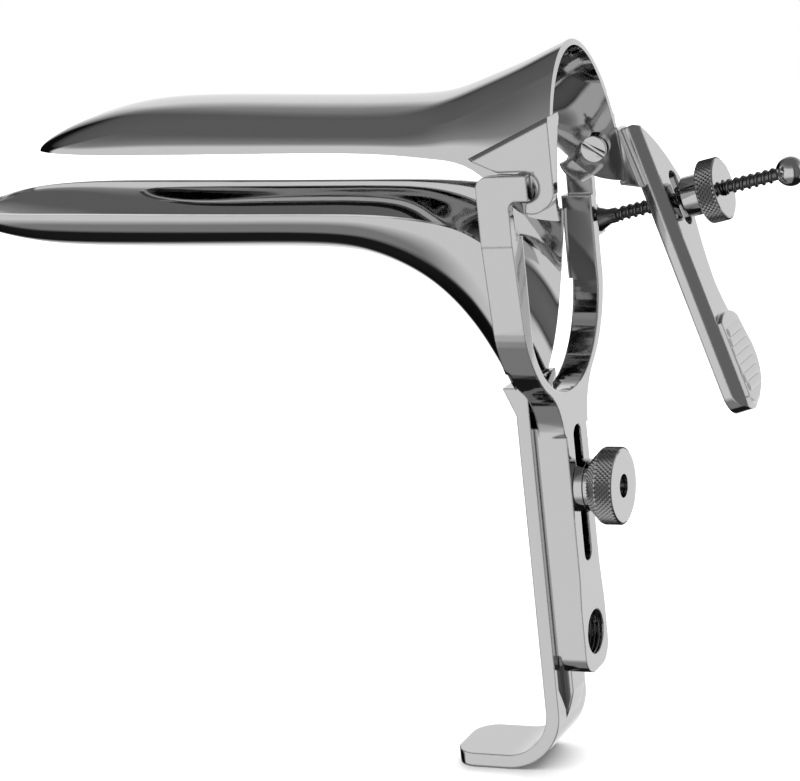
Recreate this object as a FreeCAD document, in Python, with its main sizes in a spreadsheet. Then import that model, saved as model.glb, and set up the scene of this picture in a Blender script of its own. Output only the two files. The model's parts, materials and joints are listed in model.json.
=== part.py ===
import FreeCAD, Part
import math
import os
import re
from FreeCAD import Placement, Rotation, Vector

# Bivalve speculum, in millimetres. +X points to the open mouth, +Y to the thumb lever's side, +Z up.
# The pieces are drawn from a point in the mouth, with the handle hanging straight down. Each finished
# piece is then set so that the origin is in the middle of the grip.

os.makedirs("parts", exist_ok=True)
doc = FreeCAD.newDocument("bivalve_speculum")
sheet = doc.addObject("Spreadsheet::Sheet", "Sizes")

SIZES = {
    # Blades
    "blade_width": 35.0,
    "sheet_gauge": 1.3,
    "blade_pitch_deg": 1.5,
    "upper_reach": 115.8,
    "upper_edge_height": 6.5,
    "upper_depth": 8.7,
    "lower_reach": 136.0,
    "lower_rim_drop": 5.8,
    "lower_depth": 8.4,
    "mouth_half_width": 20.2,
    "mouth_top": 25.7,
    "mouth_bottom": 6.3,
    "mouth_setback": 6.6,
    "apron_inset": 1.8,
    "apron_depth": 46.5,
    # Hinge, with sideways distances counted from the mouth's half width
    "hinge_setback": 1.5,
    "hinge_rise": 0.6,
    "ear_gauge": 2.0,
    "ear_bevel": 0.9,
    "far_ear_gauge": 0.9,
    "journal_diameter": 6.0,
    "hook_diameter": 6.1,
    "screw_diameter": 3.0,
    "screw_head_diameter": 5.2,
    "screw_head_length": 1.2,
    "screw_head_inset": 2.35,
    "screw_rivet": 1.2,
    "side_gap": 0.1,
    "running_gap": 0.05,
    # Handle
    "handle_width": 16.5,
    "handle_gauge": 2.85,
    "handle_back": 7.9,
    "grip_depth": 85.0,
    "grip_bend_depth": 113.2,
    "grip_bend_radius": 10.05,
    "rest_reach": 33.0,
    "rest_corner": 5.0,
    "rib_width": 6.8,
    "rib_depth": 1.8,
    "rib_end_depth": 110.0,
    # Lock
    "lock_depth": 65.9,
    "lock_stud_diameter": 4.0,
    "lock_stud_root": 2.25,
    "lock_stud_reach": 5.6,
    "washer_diameter": 11.0,
    "washer_length": 1.9,
    "knob_diameter": 16.1,
    "knob_rim": 3.8,
    "knob_cone": 2.4,
    "knob_hub": 0.9,
    "knob_hub_diameter": 10.6,
    "knob_recess_diameter": 4.8,
    "knob_recess_depth": 2.6,
    "edge_break": 0.4,
    # Yoke, with its sideways distances counted from the mouth's half width
    "yoke_back": 1.2,
    "arm_front": 7.7,
    "fork_front": 6.9,
    "arm_top": 9.5,
    "near_arm_inset": 1.3,
    "near_head_gauge": 2.25,
    "far_arm_inset": 0.3,
    "far_arm_gauge": 3.0,
    "far_head_gauge": 2.2,
    "fork_outer_margin": 2.9,
    "fork_outer_bottom": 47.1,
    "fork_inner_margin": 0.2,
    "fork_inner_bottom": 45.4,
    "head_height": 2.7,
    "head_drop": 2.3,
    "head_reach": 1.4,
    "eye_radius": 3.6,
    # Stem
    "stem_width": 13.3,
    "stem_depth": 105.7,
    "stem_top": 54.0,
    "stem_round": 4.5,
    "flange_top": 52.1,
    "channel_gap": 1.0,
    "bevel_depth": 3.0,
    "bevel_width": 0.9,
    "bevel_end": 84.0,
    "bevel_run_out": 92.0,
    "slot_top": 52.9,
    "slot_bottom": 82.1,
    "slot_width": 4.3,
    "accessory_depth": 97.7,
    "accessory_diameter": 9.4,
    "accessory_relief": 0.5,
    # Adjusting rod and nut
    "rod_diameter": 3.2,
    "rod_offset": 15.47,
    "rod_spacing": 9.2,
    "rod_rise_deg": 12.0,
    "rod_start": 10.37,
    "rod_end": 36.43,
    "rod_flare_diameter": 5.4,
    "rod_flare_length": 2.5,
    "ball_diameter": 6.2,
    "lug_length": 4.6,
    "lug_height": 6.2,
    "lug_margin": 2.9,
    "lug_round": 1.2,
    "collar_diameter": 8.6,
    "collar_start": 13.08,
    "collar_length": 4.5,
    "collar_bevel": 0.6,
    "wheel_diameter": 13.4,
    "wheel_length": 4.2,
    # Thumb lever
    "lever_inset": 0.7,
    "lever_gauge": 3.9,
    "lever_distance": 10.6,
    "lever_lean_deg": 17.2,
    "lever_slot_top": 10.2,
    "lever_slot_bottom": 22.2,
    "lever_slot_width": 4.2,
    "lever_bevel": 2.0,
    "pad_rise": 1.0,
}

for row, (alias, value) in enumerate(SIZES.items(), start=1):
    sheet.set("A%d" % row, alias)
    sheet.set("B%d" % row, str(value))
    sheet.setAlias("B%d" % row, alias)
doc.recompute()


def size(alias):
    """The value of a driving dimension, read from the sheet."""
    return float(sheet.get(alias))


def bind(thing, name, expression):
    """Bind a property to the sheet: each alias in the expression stands for its cell."""
    def cell(word):
        return "Sizes." + word.group() if word.group() in SIZES else word.group()
    thing.setExpression(name, re.sub("[a-z_]+", cell, expression))


X_AXIS = Vector(1, 0, 0)
Y_AXIS = Vector(0, 1, 0)
Z_AXIS = Vector(0, 0, 1)
OVERLAP = 0.5  # how far one pad of a body starts inside another

nodes = []
from_grip = Placement(Vector(size("handle_back") + size("handle_gauge") / 2, 0, size("grip_depth")), Rotation())


def keep(thing, label):
    """Name a finished sub-part and set it from the drawing frame into the grip's frame."""
    thing.Label = label
    thing.Placement = from_grip * thing.Placement
    nodes.append(thing)


def feature(shape, name):
    """A plain feature with a shape worked out from the sheet."""
    thing = doc.addObject("Part::Feature", name)
    thing.Shape = shape
    return thing


def fused(name, pieces):
    """One solid from overlapping pieces, without the seams between their faces."""
    whole = doc.addObject("Part::MultiFuse", name)
    whole.Shapes = pieces
    whole.Refine = True
    return whole


def cut(name, base, *tools):
    """The base less each tool in turn."""
    for count, tool in enumerate(tools, start=1):
        rest = doc.addObject("Part::Cut", name if count == len(tools) else "%sCut%d" % (name, count))
        rest.Base = base
        rest.Tool = tool
        base = rest
    return base


def bar(name, radius, length, foot, direction):
    """A cylinder from its foot; the radius and the length are expressions."""
    thing = doc.addObject("Part::Cylinder", name)
    bind(thing, "Radius", radius)
    bind(thing, "Height", length)
    thing.Placement = Placement(foot, Rotation(Z_AXIS, direction))
    return thing


def turned(name, foot, direction, steps):
    """Cylinders and cones in a row, joined: each step is (first radius, last radius, length)."""
    pieces = []
    for count, (first, last, length) in enumerate(steps, start=1):
        step_name = "%sStep%d" % (name, count)
        if first == last:
            piece = bar(step_name, first, length, foot, direction)
        else:
            piece = doc.addObject("Part::Cone", step_name)
            bind(piece, "Radius1", first)
            bind(piece, "Radius2", last)
            bind(piece, "Height", length)
            piece.Placement = Placement(foot, Rotation(Z_AXIS, direction))
        doc.recompute()
        foot = foot + direction * piece.Height.Value
        pieces.append(piece)
    return fused(name, pieces)


def draw(body, role, points, start):
    """A closed sketch parallel to a body's origin plane. Each point is a pair, or a pair of pairs
    (through point, end point) for an arc; start is an expression for the distance from the plane."""
    sketch = body.newObject("Sketcher::SketchObject", "%sSketch%d" % (body.Name, len(body.Group) + 1))
    plane = [item for item in body.Origin.OriginFeatures if item.Role == role][0]
    sketch.AttachmentSupport = [(plane, "")]
    sketch.MapMode = "FlatFace"
    bind(sketch, "AttachmentOffset.Base.z", start)
    here = points[0]
    for item in points[1:] + [points[0]]:
        if isinstance(item[0], tuple):
            through, end = item
            sketch.addGeometry(Part.Arc(Vector(*here), Vector(*through), Vector(*end)))
            here = end
        elif math.dist(here, item) > 1e-6:
            sketch.addGeometry(Part.LineSegment(Vector(*here), Vector(*item)))
            here = item
    return sketch


def new_body(name):
    return doc.addObject("PartDesign::Body", name)


def pad(body, role, points, start, length):
    """Pad an outline towards +X from the YZ plane, or towards -Y from the XZ plane."""
    thing = body.newObject("PartDesign::Pad", "%sPad%d" % (body.Name, len(body.Group) + 1))
    thing.Profile = draw(body, role, points, start)
    bind(thing, "Length", length)
    return thing


def even_pad(body, points, width):
    """Pad an (x, z) outline by the same distance on both sides of the middle plane."""
    thing = pad(body, "XZ_Plane", points, "0", width)
    thing.Midplane = True
    return thing


def pocket_through(body, role, points):
    """Cut an outline right through a body, to both sides of an origin plane."""
    thing = body.newObject("PartDesign::Pocket", "%sPocket%d" % (body.Name, len(body.Group) + 1))
    thing.Profile = draw(body, role, points, "0")
    thing.Type = "ThroughAll"
    thing.Midplane = True


def edge_names(thing, wanted):
    """The names of a feature's edges that meet a condition, once the feature is up to date."""
    doc.recompute()
    return ["Edge%d" % number for number, edge in enumerate(thing.Shape.Edges, start=1) if wanted(edge)]


def round_slot(middle, half, low, high):
    """The outline of an upright slot with round ends."""
    return [
        (middle - half, high - half),
        ((middle, high), (middle + half, high - half)),
        (middle + half, low + half),
        ((middle, low), (middle - half, low + half)),
    ]


# The two blades are pressed from sheet. Each station gives the edge and the crown of one section,
# as (edge x, edge z, crown x, crown z, half width), from the tip to the mouth.

def even_sections(stations, count):
    """Sections spread evenly along smooth curves through the stations."""
    edge = Part.BSplineCurve()
    edge.interpolate([Vector(s[0], s[1], s[4]) for s in stations])
    places = [edge.parameter(Vector(s[0], s[1], s[4])) for s in stations]
    crown = Part.BSplineCurve()
    crown.interpolate(Points=[Vector(s[2], s[3], s[4]) for s in stations], Parameters=places)
    first = edge.FirstParameter
    span = edge.LastParameter - first
    for step in range(count):
        where = first + span * step / (count - 1)
        yield edge.value(where), crown.value(where)


def closed_solid(faces):
    """A solid from faces that share their edges."""
    shell = Part.makeShell(faces)
    shell.sewShape()
    solid = Part.makeSolid(shell)
    if solid.Volume < 0:
        solid.reverse()
    return solid


def spline_surface(grid):
    surface = Part.BSplineSurface()
    surface.interpolate(grid)
    return surface


def middle_of(edge):
    return edge.valueAt((edge.FirstParameter + edge.LastParameter) / 2)


def blade(stations, gauge):
    """A sheet of even gauge with half-elliptic sections, and the full body under its outer face."""
    across = 20
    grid = []
    for edge, crown in even_sections(stations, 44):
        line = []
        for step in range(across + 1):
            turn = math.pi * step / across
            rise = math.sin(turn)
            x = edge.x + (crown.x - edge.x) * rise
            z = edge.y + (crown.y - edge.y) * rise
            line.append(Vector(x, -edge.z * math.cos(turn), z))
        grid.append(line)
    outer = spline_surface(grid)
    inner_grid = []
    for line in grid:
        inner_line = []
        for point in line:
            normal = outer.normal(*outer.parameter(point))
            towards_axis = Vector(0, -point.y, stations[0][1] - point.z)
            if normal.dot(towards_axis) < 0:
                normal = -normal
            inner_line.append(point + normal * gauge)
        inner_grid.append(inner_line)
    outer_face = outer.toShape()
    inner_face = spline_surface(inner_grid).toShape()
    faces = [outer_face, inner_face]
    for edge in outer_face.Edges:
        partner = min(inner_face.Edges, key=lambda e: (middle_of(e) - middle_of(edge)).Length)
        faces.append(Part.makeRuledSurface(edge, partner))
    sides = [e for e in outer_face.Edges if abs(middle_of(e).y) > 1]
    ends = [e for e in outer_face.Edges if abs(middle_of(e).y) <= 1]
    lid = Part.makeRuledSurface(sides[0], sides[1])
    caps = []
    for end in ends:
        chord = Part.LineSegment(end.valueAt(end.FirstParameter), end.valueAt(end.LastParameter)).toShape()
        caps.append(Part.Face(Part.Wire([end, chord])))
    full = closed_solid([outer_face, lid] + caps)
    pitch = Placement(Vector(0, 0, 0), Rotation(Y_AXIS, size("blade_pitch_deg")))
    solid = closed_solid(faces)
    solid.Placement = pitch
    full.Placement = pitch
    return solid, full


def moved_on(full, beyond):
    """A blade's full body, carried on past its mouth, to cut what stands against its cheeks there."""
    moved = full.copy()
    moved.translate(X_AXIS * beyond)
    return moved


half = size("blade_width") / 2
gauge = size("sheet_gauge")
mouth = size("mouth_half_width")
top_edge = size("upper_edge_height")
top_crown = top_edge + size("upper_depth")
reach = size("upper_reach")
mouth_lean = 0.1
mouth_x = size("mouth_setback")

upper_stations = [
    (-reach + 0.3, top_edge - 0.9, -reach, top_edge - 0.2, 5.0),
    (-reach + 3.0, top_edge - 0.4, -reach + 3.0, top_edge + 1.9, 0.58 * half),
    (-reach + 8.5, top_edge - 0.1, -reach + 8.5, top_edge + 4.4, 0.82 * half),
    (-reach + 16.5, top_edge, -reach + 16.5, top_edge + 6.8, 0.96 * half),
    (-reach + 28.0, top_edge, -reach + 28.0, top_crown, half),
    (-60.0, top_edge + 0.1, -60.0, top_crown + 0.1, half),
    (-32.0, top_edge - 0.1, -32.0, top_crown - 0.1, half),
    (-20.0, top_edge - 1.0, -21.0, top_crown + 1.0, half + 0.3),
    (-12.5, top_edge - 2.2, -13.0, top_crown + 3.6, half + 1.1),
    (-6.0, top_edge - 6.4, -5.0, top_crown + 6.6, mouth - 0.7),
    (0.0, -size("mouth_bottom") + 1.3, 0.5, size("mouth_top") - 1.5, mouth - 0.1),
    (mouth_x + mouth_lean * size("mouth_bottom"), -size("mouth_bottom"),
     mouth_x - mouth_lean * size("mouth_top"), size("mouth_top"), mouth),
]

rim = -size("lower_rim_drop")
floor = rim - size("lower_depth")
long_reach = size("lower_reach")
apron = mouth - size("apron_inset")
apron_bottom = -size("apron_depth")
lower_stations = [
    (-long_reach + 0.4, rim - 1.9, -long_reach, rim - 2.6, 5.0),
    (-long_reach + 3.5, rim - 0.9, -long_reach + 3.5, rim - 3.7, 0.60 * half),
    (-long_reach + 10.0, rim - 0.3, -long_reach + 10.0, rim - 5.6, 0.84 * half),
    (-long_reach + 19.0, rim - 0.1, -long_reach + 19.0, floor + 1.0, 0.97 * half),
    (-long_reach + 31.0, rim, -long_reach + 31.0, floor, half),
    (-70.0, rim, -70.0, floor, half),
    (-46.0, rim + 0.1, -47.5, floor, half),
    (-34.0, rim, -38.0, floor - 1.4, half + 0.1),
    (-25.0, rim - 0.6, -29.5, floor - 5.0, half + 0.4),
    (-17.0, rim - 1.8, -22.0, floor - 10.7, half + 0.7),
    (-11.5, rim - 3.8, -14.8, floor - 19.7, apron),
    (-7.0, rim - 6.7, -8.2, apron_bottom, apron),
]

hinge_x = size("hinge_setback")
hinge_z = size("hinge_rise")
gap = size("running_gap")
pivot_bore = bar("PivotBore", "screw_diameter / 2 + running_gap", "mouth_half_width * 2",
                 Vector(hinge_x, 0, hinge_z), Y_AXIS)

upper_sheet, upper_full = blade(upper_stations, gauge)
upper_hull = feature(upper_full, "UpperHull")
upper_room = feature(moved_on(upper_full, 3.0), "UpperRoom")
keep(cut("UpperBlade", feature(upper_sheet, "UpperBladeSheet"), pivot_bore), "upper_blade")

lower_sheet, lower_full = blade(lower_stations, gauge)
lower_hull = feature(lower_full, "LowerHull")
lower_room = feature(moved_on(lower_full, 1.8), "LowerRoom")
keep(feature(lower_sheet, "LowerBladeSheet"), "lower_blade")

# The ears are brazed on the outside of the upper blade's cheeks. The near one is an open hook.
ear_depth = "mouth_half_width * 0.4 + ear_gauge + running_gap"
hook = size("hook_diameter") / 2
hook_bottom = hinge_z - hook - 2.2
ear_right = 7.4
ear_corner = (-10.0, 6.4)
ear_peak = (7.1, 13.9)
near_ear = new_body("NearEar")
near_pad = pad(near_ear, "XZ_Plane", [
    ear_corner,
    (-3.9, hinge_z + hook),
    (hinge_x, hinge_z + hook),
    ((hinge_x + hook, hinge_z), (hinge_x, hinge_z - hook)),
    (hinge_x - 0.4, hook_bottom + 0.3),
    ((hinge_x + 1.4, hook_bottom), (5.2, -3.7)),
    ((6.9, -2.1), (ear_right, 0.0)),
    (ear_right, ear_peak[1] - 0.9),
    ear_peak,
], "mouth_half_width * 0.6", ear_depth)
ear_slope = (ear_peak[1] - ear_corner[1]) / (ear_peak[0] - ear_corner[0])


def on_top_rim(edge):
    """True for the outer edge along the top of the near ear."""
    centre = edge.BoundBox.Center
    on_top = abs(centre.z - ear_corner[1] - ear_slope * (centre.x - ear_corner[0])) < 0.01
    return on_top and edge.BoundBox.YMax < -mouth


top_rim = near_ear.newObject("PartDesign::Chamfer", "NearEarBevel")
top_rim.Base = (near_pad, edge_names(near_pad, on_top_rim))
bind(top_rim, "Size", "ear_bevel")
keep(cut("NearHook", near_ear, upper_hull, upper_room), "near_hook_ear")

far_ear = new_body("FarEarPlate")
pad(far_ear, "XZ_Plane", [
    (-5.0, 4.4),
    (-4.6, 0.0),
    ((-2.4, -4.2), (hinge_x, -5.2)),
    (5.2, -5.6),
    (5.2, 7.2),
], "-mouth_half_width - far_ear_gauge", "mouth_half_width * 0.4 + far_ear_gauge")
keep(cut("FarEar", far_ear, upper_hull, upper_room, pivot_bore), "far_hinge_ear")

# Handle: a bar bent forward into the finger rest, with a guide rib behind it for the yoke.
bar_back = -size("handle_back")
bar_front = bar_back - size("handle_gauge")
bend_x = bar_front - size("grip_bend_radius")
bend_z = -size("grip_bend_depth")
bend_inside = size("grip_bend_radius")
bend_outside = bend_inside + size("handle_gauge")
rest_tip = -size("rest_reach")
rest_top = bend_z - bend_inside
rest_bottom = bend_z - bend_outside
eighth = math.sqrt(0.5)
wedge_front = -13.2
wedge_top = -43.2
wedge_foot = -48.9
grip = new_body("Grip")
grip_pad = even_pad(grip, [
    (bar_back, wedge_top),
    (wedge_front, wedge_top),
    (bar_front, wedge_foot),
    (bar_front, bend_z),
    ((bend_x + bend_inside * eighth, bend_z - bend_inside * eighth), (bend_x, rest_top)),
    (rest_tip, rest_top),
    (rest_tip, rest_bottom),
    (bend_x, rest_bottom),
    ((bend_x + bend_outside * eighth, bend_z - bend_outside * eighth), (bar_back, bend_z)),
], "handle_width")


def at_rest_corner(edge):
    """True for the two upright edges at the tip of the finger rest."""
    return abs(edge.BoundBox.Center.x - rest_tip) < 0.01 and edge.BoundBox.ZLength > 1


corners = grip.newObject("PartDesign::Fillet", "RestCorners")
corners.Base = (grip_pad, edge_names(grip_pad, at_rest_corner))
bind(corners, "Radius", "rest_corner")
rib_back = bar_back + size("rib_depth")
rib_end = -size("rib_end_depth")
even_pad(grip, [
    (bar_back - OVERLAP, wedge_foot),
    (rib_back, wedge_foot - 1.6),
    (rib_back, rib_end),
    ((rib_back - 1.9, rib_end - 5.6), (rest_tip + 21.4, rest_top + 1.85)),
    (bar_back - 1.0, bend_z),
], "rib_width")
lock_z = -size("lock_depth")
stud_foot = Vector(bar_back - size("lock_stud_root"), 0, lock_z)
stud_radius = "lock_stud_diameter / 2"
stud_length = "lock_stud_reach + handle_back + lock_stud_root"
stud_bore = bar("StudBore", stud_radius, stud_length, stud_foot, X_AXIS)
keep(cut("Handle", grip, stud_bore, lower_hull, lower_room), "handle")

# Lock: a stud fixed in the handle goes through the yoke's slot and carries a washer and a knob.
keep(bar("LockStud", stud_radius, stud_length, stud_foot, X_AXIS), "lock_stud")
back = -size("yoke_back")
washer_foot = Vector(back + gap, 0, lock_z)
clear_bore = bar("ClearBore", stud_radius + " + running_gap", stud_length, stud_foot, X_AXIS)
washer = bar("WasherDisc", "washer_diameter / 2", "washer_length", washer_foot, X_AXIS)
keep(cut("LockWasher", washer, clear_bore), "lock_washer")

knob_foot = washer_foot + X_AXIS * (size("washer_length") + gap)
knob_length = size("knob_hub") + size("knob_cone") + size("knob_rim")
knob = turned("KnobBlank", knob_foot, X_AXIS, [
    ("knob_hub_diameter / 2", "knob_hub_diameter / 2", "knob_hub"),
    ("knob_hub_diameter / 2", "knob_diameter / 2", "knob_cone"),
    ("knob_diameter / 2", "knob_diameter / 2", "knob_rim - edge_break"),
    ("knob_diameter / 2", "knob_diameter / 2 - edge_break", "edge_break"),
])
recess = bar("KnobRecess", "knob_recess_diameter / 2", "knob_recess_depth * 2",
             knob_foot + X_AXIS * (knob_length - size("knob_recess_depth")), X_AXIS)
keep(cut("LockKnob", knob, clear_bore, recess), "lock_knob")

# Yoke: a fork round the lower blade's apron, on a slotted stem that slides along the handle.
ear_face = mouth + size("ear_gauge") + gap
head_in = ear_face + size("side_gap")
wide = head_in + size("near_head_gauge")
near_in = mouth - size("near_arm_inset")
far_in = mouth - size("far_arm_inset")
far_out = far_in + size("far_arm_gauge")
outer_r = mouth + size("fork_outer_margin")
outer_z = outer_r - size("fork_outer_bottom")
inner_r = mouth - size("fork_inner_margin")
inner_z = inner_r - size("fork_inner_bottom")
fork_front = -size("fork_front")
arm_front = -size("arm_front")
arm_top = -size("arm_top")
stem_half = size("stem_width") / 2
stem_top = -size("stem_top")
stem_bottom = -size("stem_depth")
stem_round = size("stem_round")
stem_cut = stem_round * (1 - eighth)
knee = -27.0
knee_y = math.sqrt(outer_r ** 2 - (knee - outer_z) ** 2)
waist = (stem_half + 2.05, stem_top + 6.6)


def on_circle(radius, centre_z, y):
    """The lower point of a circle about the middle plane, at a given y."""
    return (y, centre_z - math.sqrt(radius * radius - y * y))


def on_outer(share):
    """The lower point of the fork's outer circle, at a share of its radius from the middle."""
    return on_circle(outer_r, outer_z, share * outer_r)


yoke_body = new_body("YokeForging")
pad(yoke_body, "YZ_Plane", [
    (-wide, arm_top),
    (-knee_y, knee),
    (on_outer(-0.844), on_outer(-0.584)),
    ((-waist[0], waist[1]), (-stem_half, stem_top)),
    (-stem_half, stem_bottom + stem_round),
    ((-stem_half + stem_cut, stem_bottom + stem_cut), (-stem_half + stem_round, stem_bottom)),
    (stem_half - stem_round, stem_bottom),
    ((stem_half - stem_cut, stem_bottom + stem_cut), (stem_half, stem_bottom + stem_round)),
    (stem_half, stem_top),
    (waist, on_outer(0.584)),
    (on_outer(0.844), (knee_y, knee)),
    (far_out, arm_top),
    (far_in, arm_top),
    on_circle(inner_r, inner_z, far_in),
    ((0.0, inner_z - inner_r), on_circle(inner_r, inner_z, -near_in)),
    (-near_in, arm_top),
], "-fork_front", "fork_front - yoke_back")
arm_inside = near_in - 0.1
lip_depth = "arm_front - fork_front + %s" % OVERLAP
pad(yoke_body, "YZ_Plane", [
    (-wide, arm_top),
    (-knee_y, knee),
    (on_outer(-0.935), on_circle(outer_r, outer_z, -arm_inside)),
    (-arm_inside, arm_top),
], "-arm_front", lip_depth)
pad(yoke_body, "YZ_Plane", [
    (far_out, arm_top),
    (far_out - 0.1, knee),
    (far_in, knee),
    (far_in, arm_top),
], "-arm_front", lip_depth)
head_top = hinge_z + size("head_height")
head_back = hinge_x + size("head_reach")
head_bottom = hinge_z - size("head_drop")
pad(yoke_body, "XZ_Plane", [
    (arm_front, arm_top - 1.0),
    (arm_front, head_top - 2.4),
    ((arm_front + 0.7, head_top - 0.7), (arm_front + 2.4, head_top)),
    (head_back, head_top),
    (head_back, head_bottom),
    (0.0, head_bottom),
    ((-0.9, head_bottom - 0.6), (back, head_bottom - 2.1)),
    (back, arm_top - 1.0),
], "mouth_half_width + ear_gauge + running_gap + side_gap", "near_head_gauge")
eye = size("eye_radius")
pad(yoke_body, "XZ_Plane", [
    (arm_front + 1.0, arm_top - 1.0),
    (arm_front + 1.0, hinge_z - eye),
    ((hinge_x - eye * eighth, hinge_z + eye * eighth), (hinge_x, hinge_z + eye)),
    ((hinge_x + eye, hinge_z), (hinge_x, hinge_z - eye)),
    ((-0.4, hinge_z - 5.0), (back, hinge_z - 6.2)),
    (back, arm_top - 1.0),
], "-mouth_half_width - far_ear_gauge - side_gap - far_head_gauge", "far_head_gauge")
flange_front = bar_back + gap
pad(yoke_body, "YZ_Plane", [
    (-stem_half, -size("flange_top")),
    (-stem_half, stem_bottom + stem_round),
    (stem_half, stem_bottom + stem_round),
    (stem_half, -size("flange_top")),
], "-handle_back + running_gap", "handle_back - running_gap - fork_front + %s" % OVERLAP)
slot_half = size("slot_width") / 2
pocket_through(yoke_body, "YZ_Plane", round_slot(0.0, slot_half, -size("slot_bottom"), -size("slot_top")))


def bevel(side):
    """Bevel one rear corner of the stem, running out to nothing above the accessory bore."""
    def section(depth, share):
        near = side * (stem_half + 0.01)
        x = back + 0.01
        return draw(yoke_body, "XY_Plane", [
            (x - size("bevel_depth") * share, near),
            (x, near),
            (x, near - side * size("bevel_width") * share),
        ], depth)
    loft = yoke_body.newObject("PartDesign::SubtractiveLoft", "Bevel" + ("Far" if side > 0 else "Near"))
    loft.Profile = section("-stem_top", 1.0)
    loft.Sections = [section("-bevel_end", 1.0), section("-bevel_run_out", 0.03)]
    loft.Ruled = True


bevel(-1)
bevel(1)
journal = bar("Journal", "journal_diameter / 2", "ear_gauge + side_gap",
              Vector(hinge_x, -head_in, hinge_z), Y_AXIS)
channel_back = rib_back + size("channel_gap")
channel_half = size("rib_width") / 2 + 0.1
channel = doc.addObject("Part::Box", "Channel")
bind(channel, "Length", "handle_back")
bind(channel, "Width", "rib_width + 0.2")
bind(channel, "Height", "stem_depth")
channel.Placement = Placement(
    Vector(channel_back - size("handle_back"), -channel_half, stem_bottom - OVERLAP - size("grip_depth") / 4),
    Rotation())
accessory_foot = Vector(flange_front - 1.0, 0, -size("accessory_depth"))
accessory = bar("AccessoryBore", "accessory_diameter / 2", "handle_back + 1.0", accessory_foot, X_AXIS)
relief = bar("AccessoryRelief", "accessory_diameter / 2 + accessory_relief",
             "rib_depth + channel_gap - running_gap + 1.0", accessory_foot, X_AXIS)
far_head_out = mouth + size("far_ear_gauge") + size("side_gap") + size("far_head_gauge")
screw_seat = bar("ScrewSeat", "screw_diameter / 2", "mouth_half_width * 2", Vector(hinge_x, 0, hinge_z), Y_AXIS)
yoke = cut("Yoke", fused("YokeBlank", [yoke_body, journal]), channel, accessory, relief, screw_seat)
keep(yoke, "yoke")

# The pivot screw holds the far ear against the fork and turns in the ear's bore.
head_seat = mouth - size("screw_head_inset")
screw = turned("PivotScrew", Vector(hinge_x, head_seat - size("screw_head_length"), hinge_z), Y_AXIS, [
    ("screw_head_diameter / 2", "screw_head_diameter / 2", "screw_head_length"),
    ("screw_diameter / 2", "screw_diameter / 2",
     "screw_head_inset + far_ear_gauge + side_gap + far_head_gauge"),
    ("screw_head_diameter / 2", "screw_head_diameter / 2 - 0.5", "screw_rivet"),
])
keep(screw, "pivot_screw")

# Adjusting rod: fixed to the far arm, it passes through the lever's slot and ends in a ball.
rise = math.radians(size("rod_rise_deg"))
along = Vector(math.cos(rise), 0, math.sin(rise))
across_rod = Vector(-math.sin(rise), 0, math.cos(rise))
rod_side = mouth + size("rod_spacing")
rod_start = -size("rod_start")
rod_radius = "rod_diameter / 2"


def on_rod(distance):
    """A point of the rod's axis, by its distance from the point straight under the drawing's origin."""
    return Vector(0, rod_side, 0) - across_rod * size("rod_offset") + along * distance


lug_buried = 1.0
lug_face = rod_start - lug_buried + size("lug_length")
shank = bar("RodShank", rod_radius, "rod_start + rod_end", on_rod(rod_start), along)
flare = doc.addObject("Part::Cone", "RodFlare")
bind(flare, "Radius1", "rod_flare_diameter / 2")
bind(flare, "Radius2", rod_radius)
bind(flare, "Height", "rod_flare_length")
flare.Placement = Placement(on_rod(lug_face), Rotation(Z_AXIS, along))
keep(fused("AdjustingRod", [shank, flare]), "adjusting_rod")

ball = doc.addObject("Part::Sphere", "Ball")
bind(ball, "Radius", "ball_diameter / 2")
ball.Placement = Placement(on_rod(size("rod_end")), Rotation())
keep(cut("RodBall", ball, shank), "rod_ball")

lug = new_body("Lug")
lug_half = size("lug_height") / 2
lug_pad = pad(lug, "XZ_Plane", [
    (-size("lug_length"), -lug_half),
    (0.0, -lug_half),
    (0.0, lug_half),
    (-size("lug_length"), lug_half),
], "-lug_margin", "rod_spacing + far_arm_inset - far_arm_gauge + lug_margin")


def on_outer_face(edge):
    """True for the four edges round the lug's outer face."""
    return abs(edge.BoundBox.Center.y - size("lug_margin")) < 0.01


lug_fillet = lug.newObject("PartDesign::Fillet", "LugFillet")
lug_fillet.Base = (lug_pad, edge_names(lug_pad, on_outer_face))
bind(lug_fillet, "Radius", "lug_round")
lug.Placement = Placement(on_rod(lug_face), Rotation(Y_AXIS, -size("rod_rise_deg")))
keep(cut("RodLug", lug, shank), "rod_lug")

collar_foot = on_rod(size("collar_start"))
rod_hole = bar("RodHole", rod_radius + " + running_gap", "rod_end", on_rod(0), along)
collar = turned("CollarBlank", collar_foot, along, [
    ("collar_diameter / 2 - collar_bevel", "collar_diameter / 2", "collar_bevel"),
    ("collar_diameter / 2", "collar_diameter / 2", "collar_length - collar_bevel"),
])
keep(cut("NutCollar", collar, rod_hole), "nut_collar")
wheel_foot = on_rod(size("collar_start") + size("collar_length") + gap)
wheel = turned("WheelBlank", wheel_foot, along, [
    ("wheel_diameter / 2 - edge_break", "wheel_diameter / 2", "edge_break"),
    ("wheel_diameter / 2", "wheel_diameter / 2", "wheel_length - 2 * edge_break"),
    ("wheel_diameter / 2", "wheel_diameter / 2 - edge_break", "edge_break"),
])
keep(cut("NutWheel", wheel, rod_hole), "nut_wheel")

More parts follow.
